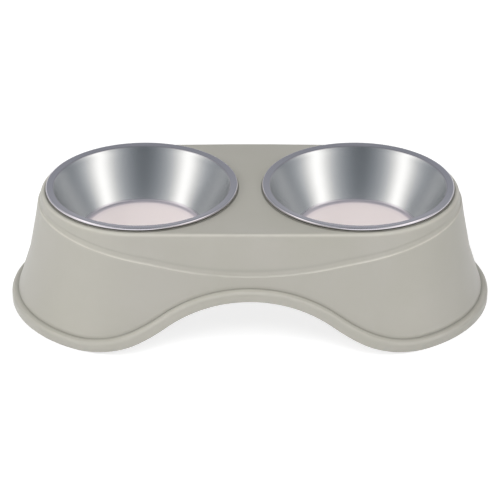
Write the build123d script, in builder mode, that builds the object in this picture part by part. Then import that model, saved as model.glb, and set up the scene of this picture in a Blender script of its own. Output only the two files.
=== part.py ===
"""Raised double pet bowl: a moulded stand, two lift-out steel bowls and four rubber feet."""
import os
from math import acos, cos, degrees, radians, sin, tan

from build123d import *

os.makedirs("parts", exist_ok=True)

# Sizes are in millimetres and angles in degrees. The bowls stand side by side along X,
# the arch opens along Y, and the feet rest on Z = 0. Radii are taken about a bowl's centre.

# Bowls: pressed steel sheet with a rim that leans in a little and is curled under at its edge
rim_radius = 85.0
rim_width = 6.8
rim_height = 3.8
rim_lean = 0.9
rim_round = 1.2
mouth_round = 1.2
curl_round = 1.8
curl_reach = 4.1
bowl_depth = 44.8
floor_radius = 53.0
floor_round = 4.0
steel_gauge = 0.9

# Stand: one moulded shell whose plan is a stadium with an end centred on each bowl
bowl_gap = 21.6
stand_height = 104.4
plastic_wall = 2.5
deck_margin = 5.6
deck_edge_round = 5.0
wall_draft = 9.65
straight_drop = 38.0
wall_spread = 23.3
flare_end_round = 20.0

# Openings in the deck, each with a collar turned down round its edge
opening_clearance = 0.6
collar_wall = 2.0
collar_depth = 7.0

# Arch between the two ends: a crown arc that runs into a foot arc on each side
arch_height = 47.5
crown_radius = 130.0
arch_foot_radius = 150.0

# Flange: the rolled lip that follows the whole lower edge, over the arch too
flange_height = 9.2
flange_width = 5.3
flange_round = 3.2

# Step across the wall: above this sagging line the wall slopes back and goes on set back
step_depth = 1.4
step_rise = 3.8
step_middle_drop = 37.9
step_middle_radius = 330.0
step_turn = 12.8
step_end_radius = 1100.0
step_chamfer = 1.2
step_lap = 4.0

# Feet: rubber discs whose stems press into blind bosses under each end
foot_radius = 6.5
foot_thickness = 3.0
foot_proud = 1.0
foot_round = 1.0
foot_inset = 8.9
foot_bearing = 45.0
stem_radius = 2.5
stem_length = 8.0
stem_tip_chamfer = 0.8
stem_clearance = 0.1
stem_end_clearance = 1.0

# Cuts run past the faces that they open by this much
overrun = 5.0
# A face counts as a ledge where its normal leans this far upright
ledge_share = 0.7
# A boss runs into the wall above it by this share of the wall
boss_sink_share = 0.5

half_pitch = rim_radius + bowl_gap / 2
mouth_radius = rim_radius - rim_width
opening_radius = rim_radius - curl_reach - opening_clearance
deck_radius = rim_radius + deck_margin
base_radius = deck_radius + wall_spread
foot_circle = base_radius - foot_inset
base_z = foot_proud
deck_z = base_z + stand_height
rim_top_z = deck_z + rim_height
floor_z = rim_top_z - bowl_depth
draft_run = tan(radians(wall_draft))
arch_turn = degrees(acos(1 - arch_height / (crown_radius + arch_foot_radius)))
plan_reach = half_pitch + base_radius + flange_width + overrun
inner_edge_round = deck_edge_round - plastic_wall
sides = {"left": -1, "right": 1}
fronts = {"front": -1, "back": 1}


def half_section(outset, drop, edge_round):
    """Half of the stand's cross-section: the wall line moved out, the deck lowered."""
    top_z = deck_z - drop
    deck_corner = (deck_radius + outset + drop * draft_run, top_z)
    flare_start = (deck_radius + outset + straight_drop * draft_run, deck_z - straight_drop)
    flare_end = (base_radius + outset, base_z + flange_height)
    down_the_wall = (sin(radians(wall_draft)), -cos(radians(wall_draft)))
    with BuildSketch() as half:
        with BuildLine():
            Polyline((0, base_z), (0, top_z), deck_corner, flare_start)
            TangentArc(flare_start, flare_end, tangent=down_the_wall)
            Polyline(flare_end, (base_radius + outset, base_z), (0, base_z))
        make_face()
        fillet(half.vertices().group_by(Axis.Y)[-1].sort_by(Axis.X)[-1], radius=edge_round)
        fillet(half.vertices().sort_by_distance(flare_end)[0], radius=flare_end_round)
    return half.sketch


def stadium_body(outset, drop, edge_round):
    """Solid stand form: the half section run straight between the bowls and turned round each end."""
    half = half_section(outset, drop, edge_round)
    with BuildPart() as body:
        with BuildSketch(Plane.YZ):
            add(half)
            mirror(about=Plane.YZ)
        extrude(amount=half_pitch, both=True)
        for side in sides.values():
            with BuildSketch(Plane.YZ.offset(side * half_pitch)):
                add(half)
            revolve(axis=Axis((side * half_pitch, 0, 0), (0, 0, -side)), revolution_arc=180)
    return body.part


def under_arch(rise):
    """Front view of the space under the arch line, with the line moved up square to itself."""
    with BuildSketch() as below:
        with BuildLine():
            crown = JernArc((0, base_z + arch_height + rise), (1, 0), crown_radius + rise, -arch_turn)
            foot = JernArc(crown @ 1, crown % 1, arch_foot_radius - rise, arch_turn)
            Polyline(foot @ 1, (plan_reach, base_z + rise), (plan_reach, -overrun), (0, -overrun), crown @ 0)
        make_face()
        mirror(about=Plane.YZ)
    return below.sketch


def under_step(rise):
    """Front view of the wall below the step line, with the line moved up."""
    with BuildSketch() as below:
        with BuildLine():
            middle_z = deck_z - step_middle_drop + rise
            middle = JernArc((0, middle_z), (1, 0), step_middle_radius, step_turn)
            end_turn = degrees(plan_reach / step_end_radius)
            end = JernArc(middle @ 1, middle % 1, step_end_radius, -end_turn)
            Polyline(end @ 1, ((end @ 1).X, -overrun), (0, -overrun), middle @ 0)
        make_face()
        mirror(about=Plane.YZ)
    return below.sketch


def ledges(part):
    """The faces that look up, where a body ends under a line."""
    return part.faces().filter_by(lambda face: face.normal_at().Z > ledge_share)


def outer_edges(faces):
    """The edges of such faces, without the seams that run from front to back."""
    return faces.edges().filter_by(Axis.Y, reverse=True)


# Wall below the step: its upper edge is sloped back, from the front edge on round the whole wall
with BuildPart() as skirt:
    add(stadium_body(0, 0, deck_edge_round))
    with BuildSketch(Plane.XZ):
        add(under_step(step_rise))
    extrude(amount=plan_reach, both=True, mode=Mode.INTERSECT)
    middle_ledge = ledges(skirt).sort_by_distance((0, 0, deck_z))[0]
    front_edge = outer_edges(middle_ledge).sort_by(Axis.Y)[0]
    chamfer(front_edge, length=step_chamfer, length2=step_rise, reference=middle_ledge)

# Flange, rounded along its upper edge
with BuildPart() as flange:
    add(stadium_body(flange_width, 0, deck_edge_round))
    with BuildSketch(Plane.XZ):
        add(under_arch(flange_height))
    extrude(amount=plan_reach, both=True, mode=Mode.INTERSECT)
    fillet(outer_edges(ledges(flange)), radius=flange_round)

# Hollow inside of the stand, one wall behind each outer face
with BuildPart() as skirt_hollow:
    add(stadium_body(-plastic_wall, plastic_wall, inner_edge_round))
    with BuildSketch(Plane.XZ):
        add(under_step(-step_lap))
    extrude(amount=plan_reach, both=True, mode=Mode.INTERSECT)

with BuildPart() as flange_hollow:
    add(stadium_body(flange_width - plastic_wall, plastic_wall, inner_edge_round))
    with BuildSketch(Plane.XZ):
        add(under_arch(flange_height - plastic_wall))
    extrude(amount=plan_reach, both=True, mode=Mode.INTERSECT)

# Bosses that the feet press into, each run up into the flared wall
foot_places = {}
for front_name, front in fronts.items():
    for side_name, side in sides.items():
        along = half_pitch + foot_circle * cos(radians(foot_bearing))
        across = foot_circle * sin(radians(foot_bearing))
        foot_places[f"foot_{front_name}_{side_name}"] = (side * along, front * across)

with BuildPart() as bosses:
    with BuildSketch(Plane.XY.offset(foot_thickness)):
        with Locations(*foot_places.values()):
            Circle(foot_radius)
    extrude(amount=stand_height)
    boss_sink = plastic_wall * boss_sink_share
    add(stadium_body(-boss_sink, plastic_wall, inner_edge_round), mode=Mode.INTERSECT)

bowl_places = [(side * half_pitch, 0) for side in sides.values()]

with BuildPart() as stand:
    add(stadium_body(-step_depth, 0, deck_edge_round))
    add(skirt.part)
    add(flange.part)
    add(stadium_body(-step_depth - plastic_wall, plastic_wall, inner_edge_round), mode=Mode.SUBTRACT)
    add(skirt_hollow.part, mode=Mode.SUBTRACT)
    add(flange_hollow.part, mode=Mode.SUBTRACT)
    with BuildSketch(Plane.XZ):
        add(under_arch(0))
    extrude(amount=plan_reach, both=True, mode=Mode.SUBTRACT)
    add(bosses.part)
    with BuildSketch(Plane.XY.offset(foot_thickness)):
        with Locations(*foot_places.values()):
            Circle(stem_radius + stem_clearance)
    extrude(amount=stem_length + stem_end_clearance, mode=Mode.SUBTRACT)
    with BuildSketch(Plane.XY.offset(deck_z)):
        with Locations(*bowl_places):
            Circle(opening_radius + collar_wall)
    extrude(amount=-collar_depth)
    with BuildSketch(Plane.XY.offset(deck_z)):
        with Locations(*bowl_places):
            Circle(opening_radius)
    extrude(amount=-collar_depth, mode=Mode.SUBTRACT)

stand.part.label = "stand"
export_step(stand.part, "parts/stand.step")

# Bowls: the polished face as one line from the floor's centre to the curled edge, with the sheet behind it
for side_name, side in sides.items():
    bowl_axis = Axis((side * half_pitch, 0, 0), (0, 0, 1))
    with BuildPart() as bowl:
        with BuildSketch(Plane((side * half_pitch, 0, 0), x_dir=(1, 0, 0), z_dir=(0, -1, 0))):
            with BuildLine():
                FilletPolyline(
                    (0, floor_z),
                    (floor_radius, floor_z),
                    (mouth_radius, rim_top_z - rim_lean),
                    (rim_radius, rim_top_z),
                    (rim_radius, deck_z),
                    (rim_radius - curl_reach, deck_z),
                    radius=[floor_round, mouth_round, rim_round, curl_round],
                )
                offset(amount=steel_gauge, side=Side.RIGHT)
            make_face()
        revolve(axis=bowl_axis)
    bowl.part.label = f"bowl_{side_name}"
    export_step(bowl.part, f"parts/bowl_{side_name}.step")

# Feet: a disc with a rounded tread and a stem that fills its boss's hole
for name, place in foot_places.items():
    with BuildPart() as foot:
        with BuildSketch(Plane.XY):
            with Locations(place):
                Circle(foot_radius)
        extrude(amount=foot_thickness)
        fillet(foot.edges().group_by(Axis.Z)[0], radius=foot_round)
        with BuildSketch(Plane.XY.offset(foot_thickness)):
            with Locations(place):
                Circle(stem_radius)
        extrude(amount=stem_length)
        chamfer(foot.edges().group_by(Axis.Z)[-1], length=stem_tip_chamfer)
    foot.part.label = name
    export_step(foot.part, f"parts/{name}.step")
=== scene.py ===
"""Raised double pet bowl: a moulded stand on four rubber feet, with two lift-out steel bowls."""
from math import atan2, cos, pi, radians, sin, sqrt, tan

import bmesh
import bpy
import numpy as np
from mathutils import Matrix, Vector


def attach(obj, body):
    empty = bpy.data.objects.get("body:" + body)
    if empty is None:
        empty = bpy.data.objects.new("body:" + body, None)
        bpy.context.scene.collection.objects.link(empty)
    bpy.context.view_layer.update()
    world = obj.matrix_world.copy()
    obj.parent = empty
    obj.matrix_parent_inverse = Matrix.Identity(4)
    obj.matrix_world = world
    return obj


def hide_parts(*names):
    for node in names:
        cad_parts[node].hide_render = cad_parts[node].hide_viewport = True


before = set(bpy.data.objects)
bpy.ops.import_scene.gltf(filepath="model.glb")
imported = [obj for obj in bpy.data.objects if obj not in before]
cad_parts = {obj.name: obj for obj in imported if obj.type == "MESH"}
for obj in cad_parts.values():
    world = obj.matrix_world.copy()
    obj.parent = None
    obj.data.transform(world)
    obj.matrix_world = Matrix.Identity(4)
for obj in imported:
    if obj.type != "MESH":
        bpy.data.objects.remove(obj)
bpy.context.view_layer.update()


# Stand: one thin shell injection-moulded in matt sage grey plastic, open underneath. Its plan is a
# stadium round the two bowls, its walls flare to a rolled lip, and an arch opens its front and back.
# A soft step sags across the wall, and the band of wall above it is set back.
bowl_pitch = 0.0958
deck_level = 0.1054
base_level = 0.001
deck_reach = 0.0906
wall_draft = tan(radians(9.65))
flare_top = 0.0674
flare_centre = (0.34697, 0.1099)
flare_radius = 0.2535
toe_top = 0.01376
toe_centre = (0.0939, 0.00618)
toe_radius = 0.020


def wall_reach(z):
    """How far the wall stands out from the line between the bowl centres, at a height."""
    if z > flare_top:
        return deck_reach + (deck_level - z) * wall_draft
    if z > toe_top:
        return flare_centre[0] - sqrt(flare_radius**2 - (flare_centre[1] - z) ** 2)
    if z > toe_centre[1]:
        return toe_centre[0] + sqrt(toe_radius**2 - (z - toe_centre[1]) ** 2)
    return toe_centre[0] + toe_radius


def arch_line(x, lift):
    """Height of the arch's lower edge, or of the line a lift above it: a crown arc, then a foot arc."""
    crown_radius, foot_radius, crown_top = 0.130, 0.150, 0.0485
    crown_centre = crown_top - crown_radius
    foot_centre = base_level + foot_radius
    foot_x = sqrt((crown_radius + foot_radius) ** 2 - (foot_centre - crown_centre) ** 2)
    turn_x = foot_x * (crown_radius + lift) / (crown_radius + foot_radius)
    if x < turn_x:
        return crown_centre + sqrt((crown_radius + lift) ** 2 - x**2)
    if x < foot_x:
        return foot_centre - sqrt((foot_radius - lift) ** 2 - (foot_x - x) ** 2)
    return base_level + lift


def step_line(x):
    """Height of the step: lowest in the middle, rising along one arc and levelling along another."""
    lowest, sag_radius, turn, end_radius = 0.0675, 0.330, radians(12.8), 1.100
    sag_x = sag_radius * sin(turn)
    if x < sag_x:
        return lowest + sag_radius - sqrt(sag_radius**2 - x**2)
    end_x = sag_x + end_radius * sin(turn)
    end_centre = lowest + sag_radius * (1 - cos(turn)) - end_radius * cos(turn)
    return end_centre + sqrt(end_radius**2 - (end_x - x) ** 2)


lip_height = 0.0092
lip_width = 0.0053
lip_zone = 0.006
step_zone_below = 0.003
step_zone_above = 0.0045
deck_edge_zone = 0.005


def wall_levels(x):
    """Heights, from the lower edge up, that the section keeps to at a place along the stand."""
    lip = arch_line(abs(x), lip_height)
    step = step_line(abs(x))
    return (
        arch_line(abs(x), 0),
        lip,
        lip + lip_zone,
        step - step_zone_below,
        step + step_zone_above,
        deck_level - deck_edge_zone,
        deck_level,
    )


# The section is drawn against an upright drum at the middle of the front, and run once round the stadium.
# Each of its corners has a place out from the lower wall, and a height.
drum = 0.100
middle_levels = wall_levels(0)
arch_z = arch_line(0, 0)
lip_z = arch_line(0, lip_height)
step_z = step_line(0)
band_setback = 0.0014
deck_border = 0.0056
lip_underside = 0.0012
groove = (-0.0007, lip_z - 0.0003)
section = {
    "deck": (-band_setback - deck_border, deck_level),
    "deck_edge": (-band_setback, deck_level),
    "band_foot": (-band_setback, step_z + 0.0080),
    "hollow": (-band_setback - 0.0004, step_z + 0.0034),
    "step_foot": (-band_setback, step_z + 0.0009),
    "step_edge": (0, step_z - 0.0001),
    "wall_foot": (0, lip_z + 0.0020),
    "groove": groove,
    "lip_edge": (lip_width, lip_z),
    "lower_edge": (lip_width, arch_z),
    "underside": (lip_width - lip_underside, arch_z),
}


def draw_line(mesh, points):
    """Draws a line through points, and gives its vertices and edges."""
    chain = [mesh.verts.new(point) for point in points]
    return chain + [mesh.edges.new((start, end)) for start, end in zip(chain, chain[1:])]


def round_corner(mesh, corner, reach, segments):
    """Rounds one corner of a drawn line, from a reach before it to a reach after it."""
    nearest = min(mesh.verts, key=lambda v: (v.co - corner).length)
    bmesh.ops.bevel(
        mesh, geom=[nearest], affect="VERTICES", offset=reach, segments=segments, profile=0.5, material=-1
    )


def divide_run(mesh, start, end, cuts):
    """Divides the straight run of a drawn line between two corners."""
    centre = (start + end) / 2
    nearest = min(mesh.edges, key=lambda e: ((e.verts[0].co + e.verts[1].co) / 2 - centre).length)
    bmesh.ops.subdivide_edges(mesh, edges=[nearest], cuts=cuts)


stand_mesh = bmesh.new()
painted_light = stand_mesh.verts.layers.float.new("painted_light")
corners = {corner: Vector((-bowl_pitch, -drum - out, z)) for corner, (out, z) in section.items()}
draw_line(stand_mesh, corners.values())
for name, reach, segments in (
    ("deck_edge", 0.0034, 7),
    ("band_foot", 0.0020, 3),
    ("hollow", 0.0008, 3),
    ("step_foot", 0.0004, 3),
    ("step_edge", 0.0004, 3),
    ("wall_foot", 0.0010, 3),
    ("groove", 0.0004, 2),
    ("lip_edge", 0.0032, 7),
    ("lower_edge", 0.0006, 3),
):
    round_corner(stand_mesh, corners[name], reach, segments)
divide_run(stand_mesh, corners["deck_edge"], corners["band_foot"], 10)
divide_run(stand_mesh, corners["band_foot"], corners["hollow"], 3)
divide_run(stand_mesh, corners["step_edge"], corners["wall_foot"], 18)
merge_reach = 1e-6
straight_steps = 32
end_steps = 80
run = stand_mesh.verts[:] + stand_mesh.edges[:]
for side in (1, -1):
    run = bmesh.ops.spin(
        stand_mesh, geom=run, cent=(0, 0, 0), axis=(0, 0, 1), angle=0,
        dvec=(side * 2 * bowl_pitch / straight_steps, 0, 0), steps=straight_steps,
    )["geom_last"]
    run = bmesh.ops.spin(
        stand_mesh, geom=run, cent=(side * bowl_pitch, 0, 0), axis=(0, 0, 1), angle=pi, steps=end_steps,
    )["geom_last"]
bmesh.ops.remove_doubles(stand_mesh, verts=stand_mesh.verts, dist=merge_reach)


def nearness(spot, centre, reach):
    """1 at the centre of a mark on the section, 0 at its reach and below 0 past it."""
    return 1 - (spot - Vector(centre)).length / reach


# Each point goes to the real wall: up or down with the lines it lies between, and out with the flare.
# Painted highlights on edges are marked above 0 and painted shade in creases below 0. The step is faint in
# the middle of the front.
# Marks are places on the section, and fades go from the middle of the front towards the ends.
edge_mark = (-0.0024, deck_level - 0.0010)
edge_highlight = 0.75
ridge_mark = (-0.0002, step_z + 0.0001)
ridge_fade = ((0.03, 0.10), (0.05, 1))
shade_mark = (-0.0016, step_z + 0.0054)
shade_fade = ((0.02, 0.06), (0.28, 0.18))
setback_fade = ((0.02, 0.09), (0.55, 1))
settle_rounds = 6
for point in stand_mesh.verts:
    spine = Vector((max(-bowl_pitch, min(bowl_pitch, point.co.x)), 0, 0))
    outward = Vector((point.co.x, point.co.y, 0)) - spine
    outset = outward.length - drum
    drawn = point.co.z
    aside = abs(point.co.x)
    spot = Vector((outset, drawn))
    edge = nearness(spot, edge_mark, 0.0016) * edge_highlight
    ridge = nearness(spot, ridge_mark, 0.0011) * np.interp(aside, *ridge_fade)
    crease = nearness(spot, groove, 0.0014)
    shade = nearness(spot, shade_mark, 0.0024) * np.interp(aside, *shade_fade)
    point[painted_light] = max(edge, ridge, 0) - max(crease, shade, 0)
    if outset < 0:
        outset *= np.interp(aside, *setback_fade)
    outward.normalize()
    for _ in range(settle_rounds):
        z = float(np.interp(drawn, middle_levels, wall_levels(point.co.x)))
        point.co = spine + outward * (wall_reach(z) + outset)
        point.co.z = z

# Deck plate, filled flat between the wall's top edge and a turned-down collar round each opening.
opening_radius = 0.0803
opening_border = 0.0022
opening_round = 0.0012
collar_depth = 0.007
turn_steps = 128
for side in (1, -1):
    collar = [
        Vector((side * bowl_pitch + opening_radius + out, 0, deck_level - drop))
        for out, drop in ((0, collar_depth), (0, 0), (opening_border, 0))
    ]
    draw_line(stand_mesh, collar)
    round_corner(stand_mesh, collar[1], opening_round, 4)
    wires = [edge for edge in stand_mesh.edges if edge.is_wire]
    points = [v for v in stand_mesh.verts if v.is_wire]
    bmesh.ops.spin(
        stand_mesh, geom=points + wires, cent=(side * bowl_pitch, 0, 0), axis=(0, 0, 1),
        angle=2 * pi, steps=turn_steps, use_merge=True,
    )
open_edges = [edge for edge in stand_mesh.edges if edge.is_boundary]
level_slack = 1e-5
deck_edges = [edge for edge in open_edges if min(v.co.z for v in edge.verts) > deck_level - level_slack]
deck = bmesh.ops.triangle_fill(
    stand_mesh, use_beauty=True, use_dissolve=False, edges=deck_edges, normal=(0, 0, 1)
)
bmesh.ops.recalc_face_normals(stand_mesh, faces=stand_mesh.faces)
for face in stand_mesh.faces:
    face.smooth = True
for face in deck["geom"]:
    if isinstance(face, bmesh.types.BMFace):
        face.smooth = False


def add_piece(name, mesh):
    """Makes an object of a finished mesh, and puts it in the scene."""
    piece = bpy.data.objects.new(name, bpy.data.meshes.new(name))
    mesh.to_mesh(piece.data)
    mesh.free()
    bpy.context.scene.collection.objects.link(piece)
    return piece


def add_wall(piece, thickness):
    """Gives a sheet its wall, behind the face that was drawn."""
    wall = piece.modifiers.new("wall", "SOLIDIFY")
    wall.thickness = thickness
    wall.offset = -1


shell_wall = 0.0025
stand = add_piece("moulded_stand", stand_mesh)
add_wall(stand, shell_wall)


def new_finish(name):
    """Starts a material, and gives it with its nodes and its shader."""
    finish = bpy.data.materials.new(name)
    finish.use_nodes = True
    return finish, finish.node_tree, finish.node_tree.nodes["Principled BSDF"]


def add_noise(tree, scale, detail):
    """A noise on the piece's own coordinates, with its size in features per metre."""
    place = tree.nodes.new("ShaderNodeTexCoord")
    noise = tree.nodes.new("ShaderNodeTexNoise")
    noise.inputs["Scale"].default_value = scale
    noise.inputs["Detail"].default_value = detail
    tree.links.new(place.outputs["Object"], noise.inputs["Vector"])
    return noise.outputs["Fac"]


def add_ramp(tree, source, stops):
    """Gives a 0 to 1 value a colour, by stops in their order, each a place and a colour."""
    ramp = tree.nodes.new("ShaderNodeValToRGB")
    elements = ramp.color_ramp.elements
    elements[0].position = stops[0][0]
    elements[1].position = stops[-1][0]
    elements[0].color = (*stops[0][1], 1)
    elements[1].color = (*stops[-1][1], 1)
    for share, colour in stops[1:-1]:
        elements.new(share).color = (*colour, 1)
    tree.links.new(source, ramp.inputs["Fac"])
    return ramp.outputs["Color"]


# Plastic: sage grey with a slow drift, painted highlights along edges, painted shade in creases and a
# painted shadow under each rim.
plastic, tree, shader = new_finish("sage_plastic")
colour = add_ramp(
    tree, add_noise(tree, 16, 5), ((0.3, (0.424, 0.412, 0.362)), (0.7, (0.448, 0.433, 0.392)))
)


def add_range(tree, source, low, high, start=0, end=1, blend="LINEAR"):
    """Runs from low to high while a value goes from start to end."""
    span = tree.nodes.new("ShaderNodeMapRange")
    span.interpolation_type = blend
    span.inputs["From Min"].default_value = start
    span.inputs["From Max"].default_value = end
    span.inputs["To Min"].default_value = low
    span.inputs["To Max"].default_value = high
    tree.links.new(source, span.inputs["Value"])
    return span.outputs["Result"]


def add_math(tree, operation, *values):
    """One step of arithmetic on values, each a number or another node's output."""
    result = tree.nodes.new("ShaderNodeMath")
    result.operation = operation
    for socket, value in zip(result.inputs, values):
        if isinstance(value, (int, float)):
            socket.default_value = value
        else:
            tree.links.new(value, socket)
    return result.outputs["Value"]


def add_tint(tree, share, under, colour):
    """Lays a colour over what is under it, by a 0 to 1 share."""
    tint = tree.nodes.new("ShaderNodeMix")
    tint.data_type = "RGBA"
    tint.inputs["B"].default_value = (*colour, 1)
    tree.links.new(share, tint.inputs["Factor"])
    tree.links.new(under, tint.inputs["A"])
    return tint.outputs["Result"]


marks = tree.nodes.new("ShaderNodeAttribute")
marks.attribute_name = "painted_light"
# Painted highlight: lighter plastic along the deck's edge and the step's ridge, broken up by noise.
highlight_share = add_math(
    tree, "MULTIPLY", marks.outputs["Fac"], add_range(tree, add_noise(tree, 60, 4), 0.5, 1)
)
colour = add_tint(tree, highlight_share, colour, (0.60, 0.58, 0.52))
# Painted shade: darker plastic in the lip's crease and in the hollow above the step.
shaded = add_range(tree, marks.outputs["Fac"], 0, 1, start=0, end=-1)
colour = add_tint(tree, shaded, colour, (0.27, 0.265, 0.23))


def add_length(tree, vector):
    """Length of a vector."""
    length = tree.nodes.new("ShaderNodeVectorMath")
    length.operation = "LENGTH"
    tree.links.new(vector, length.inputs[0])
    return length.outputs["Value"]


# Painted shadow: a dark ring on the deck round each bowl's rim edge, where the rim's shadow falls.
place = tree.nodes.new("ShaderNodeTexCoord")
axes = tree.nodes.new("ShaderNodeSeparateXYZ")
tree.links.new(place.outputs["Object"], axes.inputs[0])
from_bowl = tree.nodes.new("ShaderNodeCombineXYZ")
from_bowl_x = add_math(tree, "SUBTRACT", add_math(tree, "ABSOLUTE", axes.outputs["X"]), bowl_pitch)
tree.links.new(from_bowl_x, from_bowl.inputs["X"])
tree.links.new(axes.outputs["Y"], from_bowl.inputs["Y"])
rim_zone = add_range(tree, add_length(tree, from_bowl.outputs[0]), 0, 1, start=0.083, end=0.088)
unshadowed = (0, 0, 0)
rim_shadow_share = (0.75, 0.75, 0.75)
painted_rim_shadow = add_ramp(tree, rim_zone, ((0.24, unshadowed), (0.40, rim_shadow_share), (0.50, rim_shadow_share), (0.72, unshadowed)))
colour = add_tint(tree, painted_rim_shadow, colour, (0.10, 0.098, 0.085))
tree.links.new(colour, shader.inputs["Base Color"])
tree.links.new(add_range(tree, add_noise(tree, 420, 3), 0.36, 0.44), shader.inputs["Roughness"])


def add_bump(tree, source, strength, distance):
    """Raises a surface by a 0 to 1 value."""
    bump = tree.nodes.new("ShaderNodeBump")
    bump.inputs["Strength"].default_value = strength
    bump.inputs["Distance"].default_value = distance
    tree.links.new(source, bump.inputs["Height"])
    return bump.outputs["Normal"]


grain = add_bump(tree, add_noise(tree, 1300, 2), 0.25, 0.0002)
tree.links.new(grain, shader.inputs["Normal"])
stand.data.materials.append(plastic)
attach(stand, "stand")
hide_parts("stand")


# Bosses: four plain posts of the same plastic, moulded with the stand inside its ends, one over each
# foot. Each runs up into the flared wall, and a blind hole in its lower end takes the foot's stem.
boss_radius = 0.0065
boss_foot = 0.003
boss_top = 0.060
boss_steps = 48
cap_ring = 0.0033
hole_radius = 0.0026
hole_top = 0.012
foot_reach = 0.105 * cos(radians(45))
boss_outline = (
    (0, hole_top),
    (hole_radius, hole_top),
    (hole_radius, boss_foot),
    (boss_radius, boss_foot),
    (boss_radius, boss_top),
    (cap_ring, boss_top),
    (0, boss_top),
)
boss_mesh = bmesh.new()
for side in (1, -1):
    for front in (1, -1):
        axle = Vector((side * (bowl_pitch + foot_reach), front * foot_reach, 0))
        run = draw_line(boss_mesh, [axle + Vector((r, 0, z)) for r, z in boss_outline])
        bmesh.ops.spin(
            boss_mesh, geom=run, cent=axle, axis=(0, 0, 1), angle=2 * pi, steps=boss_steps, use_merge=True
        )
bmesh.ops.remove_doubles(boss_mesh, verts=boss_mesh.verts, dist=merge_reach)

# The top of each boss follows the middle of the wall above it.
wall_heights = np.linspace(0.08, 0.012, 69)
wall_reaches = [wall_reach(z) - shell_wall / 2 for z in wall_heights]
for point in boss_mesh.verts:
    if point.co.z > hole_top + merge_reach:
        reach = (Vector((abs(point.co.x), point.co.y)) - Vector((bowl_pitch, 0))).length
        point.co.z = float(np.interp(reach, wall_reaches, wall_heights))
bmesh.ops.recalc_face_normals(boss_mesh, faces=boss_mesh.faces)
for face in boss_mesh.faces:
    face.smooth = True
for edge in boss_mesh.edges:
    edge.smooth = edge.calc_face_angle(0) < radians(40)
bosses = add_piece("foot_bosses", boss_mesh)
bosses.data.materials.append(plastic)
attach(bosses, "stand")
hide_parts("stand")


# Feet: four buttons moulded in soft dark rubber, each with a stem that is pressed into its boss.
# They stand a little proud of the lip, so that the stand doesn't slide.
rubber, tree, shader = new_finish("foot_rubber")
colour = add_ramp(tree, add_noise(tree, 300, 4), ((0, (0.026, 0.026, 0.027)), (1, (0.042, 0.041, 0.040))))
tree.links.new(colour, shader.inputs["Base Color"])
tree.links.new(add_range(tree, add_noise(tree, 900, 2), 0.6, 0.8), shader.inputs["Roughness"])
for name in ("foot_front_left", "foot_front_right", "foot_back_left", "foot_back_right"):
    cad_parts[name].data.materials.clear()
    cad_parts[name].data.materials.append(rubber)


# Bowls: pressed from stainless sheet, with a flat floor, a sloping wall and a flat rim curled under
# at its edge. Each drops into its opening and hangs by the rim, so it lifts straight out.
steel, tree, shader = new_finish("bowl_steel")
place = tree.nodes.new("ShaderNodeUVMap")
place.uv_map = "turned"
face_place = tree.nodes.new("ShaderNodeSeparateXYZ")
tree.links.new(place.outputs["UV"], face_place.inputs[0])
face_run = face_place.outputs["Y"]
zone_start = 0.060
zone_end = 0.200
zone = add_range(tree, face_run, 0, 1, start=zone_start, end=zone_end)


def zone_stops(stops):
    """Stops of a ramp over the bowl's face, from places given as radius plus height."""
    return [((run - zone_start) / (zone_end - zone_start), colour) for run, colour in stops]


# The floor is satin with painted shade at its corner, the wall is brushed, the mouth has a painted dark
# reflection in a line, and the rim is polished. The satin scatters light as a dull coat does, so it is
# hardly metallic.
wall_tone = (0.64, 0.65, 0.66)
# Painted reflection: the dark line at the mouth stands for dark surroundings mirrored there.
mouth_painted_reflection = (0.42, 0.41, 0.44)
colour = add_ramp(tree, zone, zone_stops((
    (0.1000, (0.97, 0.87, 0.86)),
    # From here to the wall, painted shade darkens the floor towards its corner.
    (0.1090, (0.95, 0.855, 0.85)),
    (0.1138, (0.88, 0.79, 0.80)),
    (0.1155, (0.64, 0.58, 0.62)),
    (0.1175, (0.55, 0.51, 0.56)),
    (0.1200, (0.49, 0.47, 0.51)),
    (0.1222, wall_tone),
    (0.1852, wall_tone),
    (0.1860, mouth_painted_reflection),
    (0.1868, mouth_painted_reflection),
    (0.1876, (0.64, 0.615, 0.66)),
)))
tree.links.new(colour, shader.inputs["Base Color"])
polish = add_ramp(tree, zone, zone_stops((
    (0.1140, (0.60, 0.60, 0.60)),
    (0.1180, (0.30, 0.30, 0.30)),
    (0.1240, (0.24, 0.24, 0.24)),
    (0.1860, (0.24, 0.24, 0.24)),
    (0.1872, (0.16, 0.16, 0.16)),
)))
stretch = tree.nodes.new("ShaderNodeMapping")
stretch.inputs["Scale"].default_value = (5, 2200, 1)
tree.links.new(place.outputs["UV"], stretch.inputs["Vector"])
brushing = tree.nodes.new("ShaderNodeTexNoise")
brushing.inputs["Scale"].default_value = 1
brushing.inputs["Detail"].default_value = 3
tree.links.new(stretch.outputs["Vector"], brushing.inputs["Vector"])
rough = add_math(tree, "ADD", polish, add_range(tree, brushing.outputs["Fac"], -0.04, 0.04))
tree.links.new(rough, shader.inputs["Roughness"])
tree.links.new(add_bump(tree, brushing.outputs["Fac"], 0.04, 0.0001), shader.inputs["Normal"])
tree.links.new(add_range(tree, face_run, 0.05, 1, start=0.1140, end=0.1190), shader.inputs["Metallic"])

# Painted shade: the curl's lower outer faces get a dark dull steel that stands for the shadow in the gap
# under the rim.
underside, tree, shader = new_finish("curl_underside")
shader.inputs["Metallic"].default_value = 1
colour = add_ramp(tree, add_noise(tree, 200, 3), ((0, (0.22, 0.218, 0.213)), (1, (0.30, 0.293, 0.285))))
tree.links.new(colour, shader.inputs["Base Color"])
tree.links.new(add_range(tree, add_noise(tree, 900, 2), 0.4, 0.55), shader.inputs["Roughness"])

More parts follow.
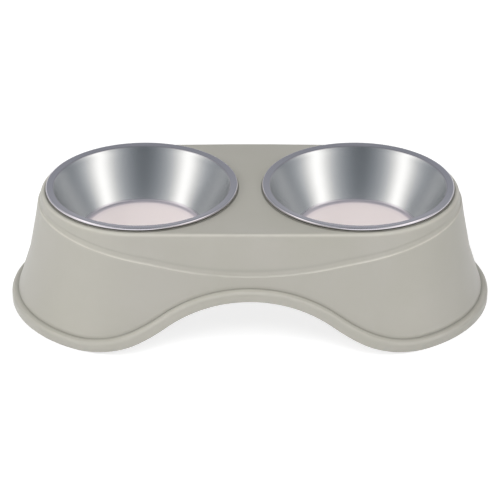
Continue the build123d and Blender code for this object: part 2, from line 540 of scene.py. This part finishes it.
steel_gauge = 0.0009
curl_inside = 0.0800
curl_level = deck_level + 0.0020
bowl_face = {
    "centre": (0, 0.0644),
    "floor_edge": (0.053, 0.0644),
    "bulge": (0.0680, 0.0846),
    "mouth": (0.0782, 0.1083),
    "rim_edge": (0.085, 0.1092),
    "curl": (0.085, deck_level),
    "curl_end": (0.0809, deck_level),
}
for side, name in ((-1, "bowl_left"), (1, "bowl_right")):
    bowl_mesh = bmesh.new()
    corners = {corner: Vector((side * bowl_pitch + r, 0, z)) for corner, (r, z) in bowl_face.items()}
    draw_line(bowl_mesh, corners.values())
    round_corner(bowl_mesh, corners["floor_edge"], 0.0022, 8)
    round_corner(bowl_mesh, corners["bulge"], 0.0215, 24)
    round_corner(bowl_mesh, corners["mouth"], 0.0006, 6)
    round_corner(bowl_mesh, corners["rim_edge"], 0.00137, 7)
    round_corner(bowl_mesh, corners["curl"], 0.0018, 7)
    divide_run(bowl_mesh, corners["centre"], corners["floor_edge"], 24)
    divide_run(bowl_mesh, corners["mouth"], corners["rim_edge"], 4)
    bmesh.ops.spin(
        bowl_mesh, geom=bowl_mesh.verts[:] + bowl_mesh.edges[:], cent=(side * bowl_pitch, 0, 0),
        axis=(0, 0, 1), angle=2 * pi, steps=turn_steps, use_merge=True,
    )
    bmesh.ops.remove_doubles(bowl_mesh, verts=bowl_mesh.verts, dist=merge_reach)
    bmesh.ops.recalc_face_normals(bowl_mesh, faces=bowl_mesh.faces)
    turned = bowl_mesh.loops.layers.uv.new("turned")
    axle = Vector((side * bowl_pitch, 0))
    for face in bowl_mesh.faces:
        face.smooth = True
        face_centre = face.calc_center_median()
        face_arm = face_centre.xy - axle
        for loop in face.loops:
            arm = loop.vert.co.xy - axle
            turn = atan2(face_arm.y, face_arm.x) - face_arm.angle_signed(arm, 0)
            loop[turned].uv = (turn / (2 * pi), arm.length + loop.vert.co.z)
        # Faces low on the curl's outside take the dark steel, as painted shade.
        if face_centre.z < curl_level and face_arm.length > curl_inside:
            face.material_index = 1
    bowl = add_piece(f"steel_{name}", bowl_mesh)
    add_wall(bowl, steel_gauge)
    bowl.data.materials.append(steel)
    bowl.data.materials.append(underside)
    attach(bowl, name)
    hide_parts(name)


# Studio: a plain white floor that keeps the shadow, in a white surround, with four soft lamps. A dome
# that shows only in reflections carries the bright strips that the steel mirrors.
def add_seen(tree):
    """1 where the camera looks, straight, in a mirror or through glass, and 0 for light on its way."""
    ray = tree.nodes.new("ShaderNodeLightPath")
    mirrored = add_math(tree, "MAXIMUM", ray.outputs["Is Camera Ray"], ray.outputs["Is Glossy Ray"])
    return add_math(tree, "MAXIMUM", mirrored, ray.outputs["Is Transmission Ray"])


floor_mesh = bmesh.new()
bmesh.ops.create_grid(floor_mesh, x_segments=1, y_segments=1, size=8)
floor = add_piece("floor", floor_mesh)
paper, tree, shader = new_finish("white_floor")
tree.nodes.remove(shader)
matt = tree.nodes.new("ShaderNodeBsdfDiffuse")
glow = tree.nodes.new("ShaderNodeEmission")
matt_and_glow = tree.nodes.new("ShaderNodeAddShader")
seen = add_seen(tree)
place = tree.nodes.new("ShaderNodeTexCoord")
from_part = add_length(tree, place.outputs["Object"])
whiteness = add_range(tree, from_part, 0.80, 1.0, start=0.5, end=1.0)
tree.links.new(add_range(tree, seen, 0.9, 0.40), matt.inputs["Color"])
tree.links.new(add_math(tree, "MULTIPLY", seen, whiteness), glow.inputs["Strength"])
tree.links.new(matt.outputs[0], matt_and_glow.inputs[0])
tree.links.new(glow.outputs[0], matt_and_glow.inputs[1])
tree.links.new(matt_and_glow.outputs[0], tree.nodes["Material Output"].inputs["Surface"])
floor.data.materials.append(paper)

world = bpy.data.worlds.new("studio")
bpy.context.scene.world = world
world.use_nodes = True
tree = world.node_tree
sky = tree.nodes["Background"]
sky.inputs["Color"].default_value = (1, 1, 1, 1)
tree.links.new(add_range(tree, add_seen(tree), 0.06, 1.0), sky.inputs["Strength"])


def aim(turn, rise):
    """Direction towards a turn from the front, and a rise above the floor, in degrees."""
    level = cos(radians(rise))
    return Vector((level * sin(radians(turn)), -level * cos(radians(turn)), sin(radians(rise))))


part_middle = Vector((0, 0, 0.08))
for name, turn, rise, distance, width, height, power in (
    ("left_softbox", -80, 26, 1.6, 0.6, 0.6, 8.2),
    ("right_softbox", 78, 26, 1.6, 0.6, 0.6, 4.4),
    ("top_softbox", 0, 52, 1.8, 1.8, 0.9, 28.4),
    ("back_softbox", 180, 10, 1.6, 0.9, 0.5, 4.0),
):
    lamp = bpy.data.lights.new(name, "AREA")
    lamp.shape = "RECTANGLE"
    lamp.size = width
    lamp.size_y = height
    lamp.energy = power
    softbox = bpy.data.objects.new(name, lamp)
    bpy.context.scene.collection.objects.link(softbox)
    softbox.location = part_middle + distance * aim(turn, rise)
    softbox.rotation_euler = (part_middle - softbox.location).to_track_quat("-Z", "Y").to_euler()
    softbox.visible_glossy = False


def add_dot(tree, direction, other):
    """How far a direction points along another."""
    dot = tree.nodes.new("ShaderNodeVectorMath")
    dot.operation = "DOT_PRODUCT"
    dot.inputs[1].default_value = other
    tree.links.new(direction, dot.inputs[0])
    return dot.outputs["Value"]


surround, tree, shader = new_finish("studio_surround")
tree.nodes.remove(shader)
glow = tree.nodes.new("ShaderNodeEmission")
tree.links.new(glow.outputs[0], tree.nodes["Material Output"].inputs["Surface"])
place = tree.nodes.new("ShaderNodeTexCoord")
facing = tree.nodes.new("ShaderNodeVectorMath")
facing.operation = "NORMALIZE"
tree.links.new(place.outputs["Object"], facing.inputs[0])
backward = add_dot(tree, facing.outputs[0], (0, 1, 0))
light = add_range(tree, backward, 0.18, 0.37, start=-0.2, end=1)

# Each strip runs from a low end to a high end. It is brightest along its line and fades past its ends.
# In a second reflection the strips are dim, and an even light fills in for them.
ray = tree.nodes.new("ShaderNodeLightPath")
strip_share = add_range(tree, ray.outputs["Glossy Depth"], 1, 0.2, start=1, end=2)
even_light = add_range(tree, ray.outputs["Glossy Depth"], 0, 0.36, start=1, end=2)
light = add_math(tree, "ADD", light, even_light)
fade_start = 0.1
fade_end = 0.75
for low, high, peak, spread in (
    (aim(-57, 8), aim(-80, 36), 1.7, 0.23),
    (aim(49, 8), aim(71, 34), 1.7, 0.23),
    (aim(-20, 74), aim(20, 74), 0.6, 0.22),
    (aim(-150, 8), aim(-132, 36), 0.5, 0.14),
    (aim(150, 8), aim(132, 36), 0.5, 0.14),
    (aim(165, 7), aim(195, 7), 0.25, 0.12),
):
    off_line = add_math(tree, "ABSOLUTE", add_dot(tree, facing.outputs[0], low.cross(high).normalized()))
    falloff = add_math(tree, "POWER", add_math(tree, "DIVIDE", off_line, spread), 2)
    strip = add_math(tree, "DIVIDE", peak, add_math(tree, "ADD", falloff, 1))
    middle = (low + high).normalized()
    half_length = low.angle(middle)
    kept = add_range(
        tree, add_dot(tree, facing.outputs[0], middle), 0, 1,
        start=cos(half_length + fade_end), end=cos(half_length + fade_start), blend="SMOOTHSTEP",
    )
    strip = add_math(tree, "MULTIPLY", strip, add_math(tree, "MULTIPLY", kept, strip_share))
    light = add_math(tree, "ADD", light, strip)
tree.links.new(add_ramp(tree, light, ((0, (0.78, 0.88, 1)), (1, (1, 0.98, 0.95)))), glow.inputs["Color"])
tree.links.new(light, glow.inputs["Strength"])
dome_mesh = bmesh.new()
bmesh.ops.create_uvsphere(dome_mesh, u_segments=64, v_segments=32, radius=2.6)
bmesh.ops.bisect_plane(
    dome_mesh, geom=dome_mesh.verts[:] + dome_mesh.edges[:] + dome_mesh.faces[:],
    plane_co=(0, 0, 0), plane_no=(0, 0, -1), clear_outer=True,
)
dome = add_piece("studio_surround", dome_mesh)
dome.data.materials.append(surround)
dome.visible_camera = False
dome.visible_diffuse = False
dome.visible_shadow = False

lens = bpy.data.cameras.new("camera")
lens.lens = 162.5
lens.sensor_width = 36
camera = bpy.data.objects.new("camera", lens)
camera.location = (0, -1.7875, 1.0043)
camera.rotation_euler = (radians(90 - 28.289), 0, 0)
bpy.context.scene.collection.objects.link(camera)
bpy.context.scene.camera = camera
bpy.context.scene.view_settings.view_transform = "Standard"
